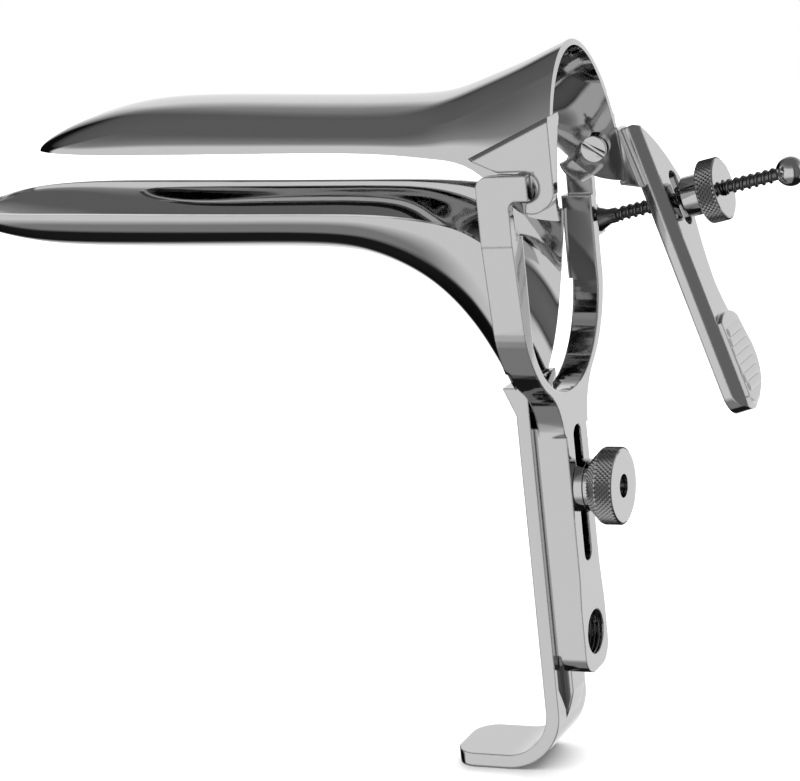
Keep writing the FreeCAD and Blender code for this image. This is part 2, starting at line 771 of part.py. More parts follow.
# Thumb lever: a plate behind the far cheek, slotted for the rod, with a broad pad at its lower end.
# It is drawn upright, as (y, height) outlines, and then leans back about the drawing's origin.
inside = mouth + size("lever_inset")
lever_body = new_body("LeverPlate")
pad(lever_body, "YZ_Plane", [
    (inside, 1.8),
    (inside + 0.9, 1.8),
    ((inside + 6.7, -3.2), (inside + 11.9, -11.0)),
    ((inside + 13.5, -16.0), (inside + 12.4, -21.5)),
    ((inside + 10.7, -28.0), (inside + 9.7, -35.0)),
    ((inside + 11.1, -42.0), (inside + 14.4, -48.5)),
    ((inside + 14.6, -55.5), (inside + 9.1, -61.0)),
    ((inside + 3.4, -62.2), (inside, -57.5)),
], "lever_distance - lever_gauge", "lever_gauge")


bevel_start = inside + size("lever_bevel")
lever_rear = size("lever_distance")
pocket_through(lever_body, "XY_Plane", [
    (lever_rear + 1.0, bevel_start + 1.0),
    (lever_rear + 1.0, bevel_start - 3.0),
    (lever_rear - 3.0, bevel_start - 3.0),
])
pad(lever_body, "YZ_Plane", [
    (inside + 2.2, -43.0),
    ((inside + 7.1, -41.6), (inside + 12.3, -43.6)),
    (inside + 13.7, -48.7),
    ((inside + 13.9, -55.3), (inside + 8.7, -60.2)),
    ((inside + 5.2, -61.2), (inside + 2.2, -59.2)),
], "lever_distance - %s" % OVERLAP, "pad_rise + %s" % OVERLAP)
pocket_through(lever_body, "YZ_Plane", round_slot(rod_side, size("lever_slot_width") / 2,
                                                  -size("lever_slot_bottom"), -size("lever_slot_top")))
lever_body.Placement = Placement(Vector(0, 0, 0), Rotation(-Y_AXIS, size("lever_lean_deg")))
root_body = new_body("LeverRoot")
pad(root_body, "XZ_Plane", [
    (5.2, 4.0),
    (6.4, 4.0),
    (10.4, -8.0),
    (6.0, -7.4),
    (5.2, -5.5),
], "-mouth_half_width - 3.6", "4.8")
lever = cut("ThumbLever", fused("LeverBlank", [lever_body, root_body]), upper_hull)
keep(lever, "thumb_lever")

doc.recompute()
for thing in doc.Objects:
    if "Invalid" in thing.State or "Error" in thing.State:
        raise RuntimeError("%s could not be built" % thing.Name)

for node in nodes:
    shape = node.Shape
    if shape.isNull() or not shape.isValid():
        raise RuntimeError("%s has no valid shape" % node.Label)
    print(node.Label, len(shape.Solids), round(shape.Volume, 1), shape.BoundBox)
    shape.exportStep("parts/%s.step" % node.Label)
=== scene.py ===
# %% [markdown]
# A bivalve speculum in mirror-polished stainless steel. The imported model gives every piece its
# place, and this script gives the pieces their finish: polish, worn edges, rolled blade rims,
# knurls, threads and serrations, seen in a bright studio with a few dark gaps, because a mirror
# shows nothing but what stands around it.

# %% Frame
import json
import math

import bmesh
import bpy
from mathutils import Matrix, Vector


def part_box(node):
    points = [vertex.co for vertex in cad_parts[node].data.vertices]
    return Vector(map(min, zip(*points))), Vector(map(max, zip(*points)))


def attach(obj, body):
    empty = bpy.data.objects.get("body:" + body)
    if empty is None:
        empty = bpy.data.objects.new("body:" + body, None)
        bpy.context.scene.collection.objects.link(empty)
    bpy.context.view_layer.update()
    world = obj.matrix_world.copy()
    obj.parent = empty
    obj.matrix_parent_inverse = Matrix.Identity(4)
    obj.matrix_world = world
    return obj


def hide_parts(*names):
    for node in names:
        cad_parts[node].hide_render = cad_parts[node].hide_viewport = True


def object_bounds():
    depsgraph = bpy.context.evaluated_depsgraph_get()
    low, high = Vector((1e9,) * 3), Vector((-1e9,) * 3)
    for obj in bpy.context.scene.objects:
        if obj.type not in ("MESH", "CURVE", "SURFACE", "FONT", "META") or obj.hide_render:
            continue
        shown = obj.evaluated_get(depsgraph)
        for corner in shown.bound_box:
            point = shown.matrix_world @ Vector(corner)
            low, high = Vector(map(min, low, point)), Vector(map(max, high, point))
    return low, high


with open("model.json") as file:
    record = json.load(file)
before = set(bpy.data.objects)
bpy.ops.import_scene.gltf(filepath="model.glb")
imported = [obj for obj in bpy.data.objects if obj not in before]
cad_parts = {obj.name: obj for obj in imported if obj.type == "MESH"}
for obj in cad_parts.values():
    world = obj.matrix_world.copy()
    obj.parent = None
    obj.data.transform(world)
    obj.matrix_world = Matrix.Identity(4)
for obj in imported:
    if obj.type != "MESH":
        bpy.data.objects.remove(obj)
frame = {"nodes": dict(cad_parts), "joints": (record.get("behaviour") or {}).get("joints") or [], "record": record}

MM = 0.001
cad_bounds = [list(corner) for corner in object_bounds()]
print("CAD box", cad_bounds)

# %% [markdown]
# The joints of the record say where the hinge, the rod and the lock stud lie. Everything that is
# built here is placed from them, or from the point that the CAD pieces are drawn from, so that a
# piece never has to be fitted by eye.

# %% Places
scene = bpy.context.scene
joints = {joint["name"]: joint for joint in frame["joints"]}
hinge = Vector(joints["blade_tilt"]["pos_m"])
rod_foot = Vector(joints["nut_spin"]["pos_m"])
rod_axis = Vector(joints["nut_spin"]["axis"]).normalized()
lock_foot = Vector(joints["lock_spin"]["pos_m"])
lock_axis = Vector(joints["lock_spin"]["axis"]).normalized()
DRAWN_HEIGHT = 85.0
drawn_from = Vector((lock_foot.x, 0.0, DRAWN_HEIGHT * MM))
print("hinge", hinge, "rod", rod_foot, "lock", lock_foot, "drawn from", drawn_from)

# %% [markdown]
# The photograph looks a little down on the instrument from its rear left, with a long lens.
# The camera's place and lens come from matching known corners of the model to the photograph.

# %% Camera
scene.view_settings.view_transform = "Standard"
CAMERA_AZIMUTH = math.radians(25.289)
CAMERA_ELEVATION = math.radians(14.147)
CAMERA_ROLL = math.radians(-6.298)
CAMERA_DISTANCE = 571.338 * MM
LOOKED_AT = drawn_from + Vector((-39.861, 0.0, -45.992)) * MM
LENS = 123.03
SENSOR = 36.0


def camera_turn(azimuth, elevation, roll):
    """The camera's rotation, with its own X to the right, Y up and Z towards the viewer."""
    towards = Vector((math.sin(azimuth) * math.cos(elevation),
                      -math.cos(azimuth) * math.cos(elevation),
                      math.sin(elevation)))
    level = Vector((math.cos(azimuth), math.sin(azimuth), 0.0))
    upright = towards.cross(level)
    right = level * math.cos(roll) + upright * math.sin(roll)
    up = upright * math.cos(roll) - level * math.sin(roll)
    return Matrix((right, up, towards)).transposed(), towards


turn, towards = camera_turn(CAMERA_AZIMUTH, CAMERA_ELEVATION, CAMERA_ROLL)
camera_data = bpy.data.cameras.new("Camera")
camera_data.lens = LENS
camera_data.sensor_fit = "HORIZONTAL"
camera_data.sensor_width = SENSOR
camera = bpy.data.objects.new("Camera", camera_data)
scene.collection.objects.link(camera)
camera.matrix_world = Matrix.Translation(LOOKED_AT + towards * CAMERA_DISTANCE) @ turn.to_4x4()
scene.camera = camera
print("camera at", camera.location[:])

# %% [markdown]
# Node trees are built by one helper that adds a node, sets its plain values and links its inputs.

# %% Node helper


def hex_colour(text):
    """An sRGB hex colour as linear red, green, blue and alpha."""
    parts = [int(text[i:i + 2], 16) / 255 for i in (1, 3, 5)]
    linear = [c / 12.92 if c <= 0.04045 else ((c + 0.055) / 1.055) ** 2.4 for c in parts]
    return (*linear, 1.0)


def add_node(tree, kind, settings=None, inputs=None):
    """Adds a node. An input's value is a plain value or another node's output socket."""
    node = tree.nodes.new(kind)
    for name, value in (settings or {}).items():
        setattr(node, name, value)
    for name, value in (inputs or {}).items():
        if isinstance(value, bpy.types.NodeSocket):
            tree.links.new(value, node.inputs[name])
        else:
            node.inputs[name].default_value = value
    return node


# %% [markdown]
# Polished stainless steel is a neutral grey mirror. Real polish leaves very fine brush marks and a
# faint cloudiness, which widen a reflection a little here and there, and hand polishing leaves
# the flats slightly wavy. Threads and knurls are cut, not polished, and are given a darker grey
# and a rougher gloss, so they look darker and duller. The forged pieces' edges are rounded in the
# shading alone: a Bevel node turns the light there, while the mesh keeps the sharp edge of the CAD.

# %% Polished stainless steel
CLOUD_SIZE = 9
RIPPLE_SIZE = 6
EDGE_SAMPLES = 6


def steel(name, colour, roughness, cloud=0.03, wave=0.02, edge=0.0):
    """Stainless steel, whose gloss varies in soft clouds and whose edges can look worn round."""
    material = bpy.data.materials.new(name)
    material.use_nodes = True
    tree = material.node_tree
    shader = tree.nodes["Principled BSDF"]
    shader.inputs["Base Color"].default_value = hex_colour(colour)
    shader.inputs["Metallic"].default_value = 1.0
    place = add_node(tree, "ShaderNodeTexCoord")
    clouds = add_node(tree, "ShaderNodeTexNoise", inputs={
        "Vector": place.outputs["Object"], "Scale": 1 / (CLOUD_SIZE * MM), "Detail": 3.0})
    gloss = add_node(tree, "ShaderNodeMapRange", inputs={
        "Value": clouds.outputs["Fac"], "From Min": 0.3, "From Max": 0.7,
        "To Min": max(roughness - cloud, 0.01), "To Max": roughness + cloud})
    tree.links.new(gloss.outputs["Result"], shader.inputs["Roughness"])
    ripple = add_node(tree, "ShaderNodeTexNoise", inputs={
        "Vector": place.outputs["Object"], "Scale": 1 / (RIPPLE_SIZE * MM), "Detail": 1.0})
    bump = add_node(tree, "ShaderNodeBump", inputs={
        "Height": ripple.outputs["Fac"], "Strength": wave, "Distance": 1 * MM})
    if edge:
        worn = add_node(tree, "ShaderNodeBevel", {"samples": EDGE_SAMPLES}, {"Radius": edge * MM})
        tree.links.new(worn.outputs["Normal"], bump.inputs["Normal"])
    tree.links.new(bump.outputs["Normal"], shader.inputs["Normal"])
    return material


polished = steel("mirror_polished_stainless", "#C6C6C6", 0.06)
forged = steel("forged_and_polished_stainless", "#C6C6C6", 0.06, edge=0.6)
cut_steel = steel("machine_cut_stainless", "#6E6E6E", 0.2, wave=0.05)
knurled = steel("knurled_stainless", "#9A9A9A", 0.18, wave=0.05)
print("materials", [m.name for m in bpy.data.materials])

# %% [markdown]
# A CAD node's mesh is copied and its loose triangles are joined, so that a curved face reflects as
# one. Weighted normals let the large flat faces stay flat in the mirror.

# %% Forged pieces
SMOOTH_BELOW = 15
BODY_OF = {node: body
           for body, members in frame["record"]["behaviour"]["bodies"].items()
           for node in members}


def new_object(name, mesh):
    """An object in the scene for a mesh."""
    made = bpy.data.objects.new(name, mesh)
    scene.collection.objects.link(made)
    return made


def as_plain_mesh(piece):
    """Turns an object's modifiers into a plain mesh."""
    graph = bpy.context.evaluated_depsgraph_get()
    mesh = bpy.data.meshes.new_from_object(piece.evaluated_get(graph))
    piece.modifiers.clear()
    piece.data = mesh
    return mesh


def finished(piece, node, material, replaces=True):
    """Gives a piece its finish and lets it ride on its node's body."""
    mesh = as_plain_mesh(piece)
    mesh.materials.clear()
    mesh.materials.append(material)
    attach(piece, BODY_OF[node])
    if replaces:
        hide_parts(node)
    return piece


def merged_copy(node):
    """A copy of a CAD node's mesh, with its triangles joined and its curved faces smooth."""
    mesh = frame["nodes"][node].data.copy()
    shape = bmesh.new()
    shape.from_mesh(mesh)
    bmesh.ops.remove_doubles(shape, verts=shape.verts, dist=0.001 * MM)
    shape.to_mesh(mesh)
    shape.free()
    mesh.shade_smooth()
    mesh.set_sharp_from_angle(angle=math.radians(SMOOTH_BELOW))
    return mesh


def round_edges(piece, width, angle=28, segments=3):
    """Rounds the edges that are sharper than an angle, to a width in millimetres."""
    bevel = piece.modifiers.new("Rounding", "BEVEL")
    bevel.limit_method = "ANGLE"
    bevel.angle_limit = math.radians(angle)
    bevel.width = width * MM
    bevel.segments = segments
    bevel.harden_normals = True


for node in ("near_hook_ear", "far_hinge_ear", "handle", "yoke", "rod_lug", "thumb_lever"):
    piece = new_object(node + "_finished", merged_copy(node))
    flat = piece.modifiers.new("Flats stay flat", "WEIGHTED_NORMAL")
    flat.mode = "FACE_AREA_WITH_ANGLE"
    flat.weight = 100
    flat.keep_sharp = True
    finished(piece, node, forged)

# %% [markdown]
# The blades are pressed from sheet. Each station gives the edge and the crown of one half-elliptic
# section; smooth curves through the stations give as many sections as the mirror finish needs.
# Solidify gives the sheet its gauge, and a bevel rolls its rim.

# %% Blade sections
BLADE_HALF = 17.5
SHEET = 1.3
BLADE_PITCH = math.radians(1.5)
ROLLED_SHARE = 0.42


def smooth_values(stations, count):
    """Rows of numbers spread evenly along natural cubic curves through the stations."""
    places = [0.0]
    for before, after in zip(stations, stations[1:]):
        places.append(places[-1] + math.sqrt(math.dist(before, after)))
    size = len(stations)
    columns = []
    for column in zip(*stations):
        step = [places[i + 1] - places[i] for i in range(size - 1)]
        slope = [(column[i + 1] - column[i]) / step[i] for i in range(size - 1)]
        ratio = [0.0] * size
        value = [0.0] * size
        for i in range(1, size - 1):
            width = 2 * (step[i - 1] + step[i]) - step[i - 1] * ratio[i - 1]
            ratio[i] = step[i] / width
            value[i] = (6 * (slope[i] - slope[i - 1]) - step[i - 1] * value[i - 1]) / width
        curve = [0.0] * size
        for i in range(size - 2, 0, -1):
            curve[i] = value[i] - ratio[i] * curve[i + 1]
        columns.append((column, step, slope, curve))
    rows = []
    for number in range(count):
        at = places[-1] * number / (count - 1)
        i = max(j for j in range(size - 1) if places[j] <= at + 1e-12)
        row = []
        for column, step, slope, curve in columns:
            u = at - places[i]
            first = slope[i] - step[i] * (2 * curve[i] + curve[i + 1]) / 6
            row.append(column[i] + u * first + u * u * curve[i] / 2
                       + u ** 3 * (curve[i + 1] - curve[i]) / (6 * step[i]))
        rows.append(row)
    return rows


def blade(node, stations, length_count=150, across_count=56):
    """A pressed blade: half-elliptic sections from tip to mouth, with a gauge and a rolled rim."""
    cos_pitch, sin_pitch = math.cos(BLADE_PITCH), math.sin(BLADE_PITCH)
    points = []
    for edge_x, edge_z, crown_x, crown_z, half in smooth_values(stations, length_count):
        for step in range(across_count + 1):
            angle = math.pi * step / across_count
            rise = math.sin(angle)
            x = edge_x + (crown_x - edge_x) * rise
            z = edge_z + (crown_z - edge_z) * rise
            y = -half * math.cos(angle)
            place = Vector((x * cos_pitch + z * sin_pitch, y, z * cos_pitch - x * sin_pitch))
            points.append(drawn_from + place * MM)
    width = across_count + 1
    faces = [(r * width + c, r * width + c + 1, (r + 1) * width + c + 1, (r + 1) * width + c)
             for r in range(length_count - 1) for c in range(across_count)]
    mesh = bpy.data.meshes.new(node + "_sheet")
    mesh.from_pydata(points, [], faces)
    mesh.shade_smooth()
    piece = new_object(node + "_sheet", mesh)
    gauge = piece.modifiers.new("Gauge", "SOLIDIFY")
    gauge.thickness = SHEET * MM
    gauge.offset = 1.0
    gauge.use_even_offset = True
    round_edges(piece, ROLLED_SHARE * SHEET, angle=55, segments=4)
    return finished(piece, node, polished)


UPPER_REACH = 115.8
UPPER_EDGE = 6.5
UPPER_CROWN = UPPER_EDGE + 8.7
MOUTH_HALF = 20.2
MOUTH_TOP = 25.7
MOUTH_BOTTOM = 6.3
upper_stations = [
    (-UPPER_REACH + 0.3, UPPER_EDGE - 0.9, -UPPER_REACH, UPPER_EDGE - 0.2, 5.0),
    (-UPPER_REACH + 3.0, UPPER_EDGE - 0.4, -UPPER_REACH + 3.0, UPPER_EDGE + 1.9, 0.58 * BLADE_HALF),
    (-UPPER_REACH + 8.5, UPPER_EDGE - 0.1, -UPPER_REACH + 8.5, UPPER_EDGE + 4.4, 0.82 * BLADE_HALF),
    (-UPPER_REACH + 16.5, UPPER_EDGE, -UPPER_REACH + 16.5, UPPER_EDGE + 6.8, 0.96 * BLADE_HALF),
    (-UPPER_REACH + 28.0, UPPER_EDGE, -UPPER_REACH + 28.0, UPPER_CROWN, BLADE_HALF),
    (-60.0, UPPER_EDGE + 0.1, -60.0, UPPER_CROWN + 0.1, BLADE_HALF),
    (-32.0, UPPER_EDGE - 0.1, -32.0, UPPER_CROWN - 0.1, BLADE_HALF),
    (-20.0, UPPER_EDGE - 1.0, -21.0, UPPER_CROWN + 1.0, BLADE_HALF + 0.3),
    (-12.5, UPPER_EDGE - 2.2, -13.0, UPPER_CROWN + 3.6, BLADE_HALF + 1.1),
    (-6.0, UPPER_EDGE - 6.4, -5.0, UPPER_CROWN + 6.6, MOUTH_HALF - 0.7),
    (0.0, -MOUTH_BOTTOM + 1.3, 0.5, MOUTH_TOP - 1.5, MOUTH_HALF - 0.1),
    (7.23, -MOUTH_BOTTOM, 4.03, MOUTH_TOP, MOUTH_HALF),
]
blade("upper_blade", upper_stations)

LOWER_REACH = 136.0
LOWER_RIM = -5.8
LOWER_FLOOR = LOWER_RIM - 8.4
APRON_HALF = 18.4
lower_stations = [
    (-LOWER_REACH + 1.4, LOWER_RIM - 1.9, -LOWER_REACH + 1.0, LOWER_RIM - 2.6, 5.0),
    (-LOWER_REACH + 3.9, LOWER_RIM - 0.9, -LOWER_REACH + 3.9, LOWER_RIM - 3.7, 0.60 * BLADE_HALF),
    (-LOWER_REACH + 10.0, LOWER_RIM - 0.3, -LOWER_REACH + 10.0, LOWER_RIM - 5.6, 0.84 * BLADE_HALF),
    (-LOWER_REACH + 19.0, LOWER_RIM - 0.1, -LOWER_REACH + 19.0, LOWER_FLOOR + 1.0, 0.97 * BLADE_HALF),
    (-LOWER_REACH + 31.0, LOWER_RIM, -LOWER_REACH + 31.0, LOWER_FLOOR, BLADE_HALF),
    (-70.0, LOWER_RIM, -70.0, LOWER_FLOOR, BLADE_HALF),
    (-46.0, LOWER_RIM + 0.1, -47.5, LOWER_FLOOR, BLADE_HALF),
    (-34.0, LOWER_RIM, -38.0, LOWER_FLOOR - 1.4, BLADE_HALF + 0.1),
    (-25.0, LOWER_RIM - 0.6, -29.5, LOWER_FLOOR - 5.0, BLADE_HALF + 0.4),
    (-17.0, LOWER_RIM - 1.8, -22.0, LOWER_FLOOR - 10.7, BLADE_HALF + 0.7),
    (-11.5, LOWER_RIM - 3.8, -14.8, LOWER_FLOOR - 19.7, APRON_HALF),
    (-7.0, LOWER_RIM - 6.7, -8.2, -46.5, APRON_HALF),
]
blade("lower_blade", lower_stations)

# %% [markdown]
# Turned pieces come off a lathe, so each is a profile spun round its axis. Where a knurl is to
# follow, the blank is left a little under size, as a turner would leave it.

# %% Turned pieces


def lathe(name, node, profile, foot, axis, material, segments=96, rounding=0.12):
    """A closed profile of (distance along, radius) points in millimetres, spun round an axis."""
    across = axis.orthogonal().normalized()
    other = axis.cross(across)
    points = []
    rings = []
    for along, radius in profile:
        if radius < 1e-6:
            rings.append([len(points)])
            points.append(foot + axis * along * MM)
            continue
        ring = []
        for step in range(segments):
            angle = 2 * math.pi * step / segments
            ring.append(len(points))
            spoke = across * math.cos(angle) + other * math.sin(angle)
            points.append(foot + (axis * along + spoke * radius) * MM)
        rings.append(ring)
    faces = []
    pairs = list(zip(rings, rings[1:]))
    if len(rings[0]) > 1 and len(rings[-1]) > 1:
        pairs.append((rings[-1], rings[0]))
    for low, high in pairs:
        for step in range(segments):
            after = (step + 1) % segments
            if len(low) == 1 and len(high) > 1:
                faces.append((low[0], high[after], high[step]))
            elif len(high) == 1 and len(low) > 1:
                faces.append((low[step], low[after], high[0]))
            elif len(low) > 1:
                faces.append((low[step], low[after], high[after], high[step]))
    mesh = bpy.data.meshes.new(name)
    mesh.from_pydata(points, [], faces)
    shape = bmesh.new()
    shape.from_mesh(mesh)
    bmesh.ops.recalc_face_normals(shape, faces=shape.faces)
    shape.to_mesh(mesh)
    shape.free()
    mesh.shade_smooth()
    piece = new_object(name, mesh)
    round_edges(piece, rounding, angle=24)
    return finished(piece, node, material)


RUNNING_FIT = 0.05
STUD_RADIUS = 2.0
STUD_BORE = STUD_RADIUS + RUNNING_FIT
STUD_START = -10.15
STUD_END = 5.6
WASHER_START = -1.15
WASHER_END = 0.75
WASHER_RADIUS = 5.5
lathe("lock_washer_turned", "lock_washer", [
    (WASHER_START, STUD_BORE), (WASHER_START, WASHER_RADIUS),
    (WASHER_END, WASHER_RADIUS), (WASHER_END, STUD_BORE)], lock_foot, lock_axis, polished)
lathe("lock_stud_turned", "lock_stud", [
    (STUD_START, 0.0), (STUD_START, STUD_RADIUS),
    (STUD_END, STUD_RADIUS), (STUD_END, 0.0)], lock_foot, lock_axis, cut_steel)

KNURL_DEPTH = 0.3
EDGE_BREAK = 0.35
CONE_LENGTH = 2.4
HUB_START = 0.8
CONE_START = HUB_START + 0.9
RIM_START = CONE_START + CONE_LENGTH
RIM_END = RIM_START + 3.8
HUB_RADIUS = 5.3
KNOB_RADIUS = 8.05
KNOB_BLANK = KNOB_RADIUS - KNURL_DEPTH
RECESS_RADIUS = 2.4
RECESS_DEPTH = 2.6
lathe("lock_knob_turned", "lock_knob", [
    (HUB_START, STUD_BORE), (HUB_START, HUB_RADIUS), (CONE_START, HUB_RADIUS),
    (RIM_START, KNOB_BLANK), (RIM_END - EDGE_BREAK, KNOB_BLANK),
    (RIM_END, KNOB_BLANK - EDGE_BREAK), (RIM_END, RECESS_RADIUS),
    (RIM_END - RECESS_DEPTH, RECESS_RADIUS), (RIM_END - RECESS_DEPTH, STUD_BORE)],
    lock_foot, lock_axis, polished)

ROD_RADIUS = 1.6
ROD_BORE = ROD_RADIUS + RUNNING_FIT
ROD_START = -10.37
FLARE_START = -6.77
FLARE_LENGTH = 2.5
FLARE_RADIUS = 2.7
THREAD_START = -2.6
THREAD_RUN_IN = 0.5
BALL_AT = 36.43
BALL_RADIUS = 3.1
BALL_STEPS = 32
THREAD_ROOT = 1.15
lathe("adjusting_rod_turned", "adjusting_rod", [
    (ROD_START, 0.0), (ROD_START, ROD_RADIUS), (FLARE_START, ROD_RADIUS),
    (FLARE_START, FLARE_RADIUS), (FLARE_START + FLARE_LENGTH, ROD_RADIUS),
    (THREAD_START, ROD_RADIUS), (THREAD_START + THREAD_RUN_IN, THREAD_ROOT),
    (BALL_AT, THREAD_ROOT), (BALL_AT, 0.0)], rod_foot, rod_axis, cut_steel)
ball_angles = [math.pi * i / BALL_STEPS for i in range(BALL_STEPS + 1)]
lathe("rod_ball_turned", "rod_ball",
      [(BALL_AT - BALL_RADIUS * math.cos(a), BALL_RADIUS * math.sin(a)) for a in ball_angles],
      rod_foot, rod_axis, polished)

COLLAR_START = 13.08
COLLAR_END = COLLAR_START + 4.5
COLLAR_RADIUS = 4.3
COLLAR_BEVEL = 0.6
lathe("nut_collar_turned", "nut_collar", [
    (COLLAR_START, ROD_BORE), (COLLAR_START, COLLAR_RADIUS - COLLAR_BEVEL),
    (COLLAR_START + COLLAR_BEVEL, COLLAR_RADIUS),
    (COLLAR_END, COLLAR_RADIUS), (COLLAR_END, ROD_BORE)], rod_foot, rod_axis, polished)
WHEEL_START = COLLAR_END + RUNNING_FIT
WHEEL_END = WHEEL_START + 4.2
WHEEL_RADIUS = 6.7
WHEEL_BLANK = WHEEL_RADIUS - KNURL_DEPTH
lathe("nut_wheel_turned", "nut_wheel", [
    (WHEEL_START, ROD_BORE), (WHEEL_START, WHEEL_BLANK - EDGE_BREAK),
    (WHEEL_START + EDGE_BREAK, WHEEL_BLANK), (WHEEL_END - EDGE_BREAK, WHEEL_BLANK),
    (WHEEL_END, WHEEL_BLANK - EDGE_BREAK), (WHEEL_END, ROD_BORE)], rod_foot, rod_axis, polished)

# %% [markdown]
# Knurls, threads and serrations are rows of one small shape, so Geometry Nodes set them out. Each
# tree has named inputs for its sizes, which the script sets by the sockets' identifiers. The
# result becomes a plain mesh, moved from the tree's own frame, with Z along the axis, to its place.

# %% Geometry Nodes helpers


def new_tree(name, inputs):
    """A geometry tree with float inputs and a material: (the tree, its inputs, identifiers)."""
    tree = bpy.data.node_groups.new(name, "GeometryNodeTree")
    tree.interface.new_socket("Geometry", in_out="OUTPUT", socket_type="NodeSocketGeometry")
    identifiers = {}
    for label in inputs:
        identifiers[label] = tree.interface.new_socket(
            label, in_out="INPUT", socket_type="NodeSocketFloat").identifier
    identifiers["Material"] = tree.interface.new_socket(
        "Material", in_out="INPUT", socket_type="NodeSocketMaterial").identifier
    return tree, add_node(tree, "NodeGroupInput").outputs, identifiers


def maths(tree, operation, first, second=0.0):
    """One Math node's result."""
    node = add_node(tree, "ShaderNodeMath", {"operation": operation}, {0: first, 1: second})
    return node.outputs[0]


def end_tree(tree, geometry, given):
    """Realizes the instances, sets the material and ends the tree."""
    real = add_node(tree, "GeometryNodeRealizeInstances", inputs={"Geometry": geometry})
    coat = add_node(tree, "GeometryNodeSetMaterial", inputs={
        "Geometry": real.outputs["Geometry"], "Material": given["Material"]})
    add_node(tree, "NodeGroupOutput", inputs={0: coat.outputs["Geometry"]})


def grown(name, node, tree, identifiers, sizes, material, place):
    """Runs a tree on an empty mesh, in millimetres, and moves what it makes to its place."""
    piece = new_object(name, bpy.data.meshes.new(name))
    grower = piece.modifiers.new("Grown", "NODES")
    grower.node_group = tree
    for label, value in sizes.items():
        grower[identifiers[label]] = float(value)
    grower[identifiers["Material"]] = material
    mesh = as_plain_mesh(piece)
    mesh.transform(place @ Matrix.Scale(MM, 4))
    print(name, len(mesh.polygons), "faces")
    return finished(piece, node, material, replaces=False)


def frame_on(foot, axis, along=0.0):
    """The matrix that takes Z to an axis, from a distance in millimetres along it."""
    facing = axis.to_track_quat("Z", "Y").to_matrix().to_4x4()
    return Matrix.Translation(foot + axis * along * MM) @ facing


# %% [markdown]
# A diamond knurl is rows of little pyramids, each row half a step round from the last. One cone
# of four sides is set on every point, upright on the surface, with one diagonal along the axis.

# %% Diamond knurl
knurl, given, knurl_sizes = new_tree("diamond_knurl", [
    "Count", "Rows", "Start Radius", "End Radius", "Length", "Depth"])
index = add_node(knurl, "GeometryNodeInputIndex").outputs["Index"]
row = maths(knurl, "FLOOR", maths(knurl, "DIVIDE", index, given["Count"]))
column = maths(knurl, "SUBTRACT", index, maths(knurl, "MULTIPLY", row, given["Count"]))
stagger = maths(knurl, "MULTIPLY", maths(knurl, "MODULO", row, 2.0), 0.5)
turned = maths(knurl, "DIVIDE", maths(knurl, "ADD", column, stagger), given["Count"])
angle = maths(knurl, "MULTIPLY", turned, 2 * math.pi)
share = maths(knurl, "DIVIDE", maths(knurl, "ADD", row, 0.5), given["Rows"])
slope = maths(knurl, "SUBTRACT", given["End Radius"], given["Start Radius"])
radius = maths(knurl, "ADD", given["Start Radius"], maths(knurl, "MULTIPLY", slope, share))
cosine = maths(knurl, "COSINE", angle)
sine = maths(knurl, "SINE", angle)
spot = add_node(knurl, "ShaderNodeCombineXYZ", inputs={
    0: maths(knurl, "MULTIPLY", radius, cosine), 1: maths(knurl, "MULTIPLY", radius, sine),
    2: maths(knurl, "MULTIPLY", given["Length"], share)})
outward = add_node(knurl, "ShaderNodeCombineXYZ", inputs={
    0: maths(knurl, "MULTIPLY", given["Length"], cosine),
    1: maths(knurl, "MULTIPLY", given["Length"], sine),
    2: maths(knurl, "MULTIPLY", slope, -1.0)})
points = add_node(knurl, "GeometryNodePoints", inputs={
    "Count": maths(knurl, "MULTIPLY", given["Count"], given["Rows"]), "Position": spot.outputs[0]})
upright = add_node(knurl, "FunctionNodeAlignRotationToVector", {"axis": "Z"}, {
    "Vector": outward.outputs[0]})
squared = add_node(knurl, "FunctionNodeAlignRotationToVector", {"axis": "X", "pivot_axis": "Z"}, {
    "Rotation": upright.outputs[0], "Vector": (0.0, 0.0, 1.0)})
slant = maths(knurl, "SQRT", maths(knurl, "ADD", maths(knurl, "MULTIPLY", slope, slope),
                                   maths(knurl, "MULTIPLY", given["Length"], given["Length"])))
extent = add_node(knurl, "ShaderNodeCombineXYZ", inputs={
    0: maths(knurl, "DIVIDE", slant, given["Rows"]),
    1: maths(knurl, "DIVIDE", maths(knurl, "MULTIPLY", radius, math.pi), given["Count"]),
    2: given["Depth"]})
pyramid = add_node(knurl, "GeometryNodeMeshCone", {"fill_type": "NONE"}, {
    "Vertices": 4, "Radius Top": 0.0, "Radius Bottom": 1.0, "Depth": 1.0})
spread = add_node(knurl, "GeometryNodeInstanceOnPoints", inputs={
    "Points": points.outputs[0], "Instance": pyramid.outputs["Mesh"],
    "Rotation": squared.outputs[0], "Scale": extent.outputs[0]})
end_tree(knurl, spread.outputs[0], given)

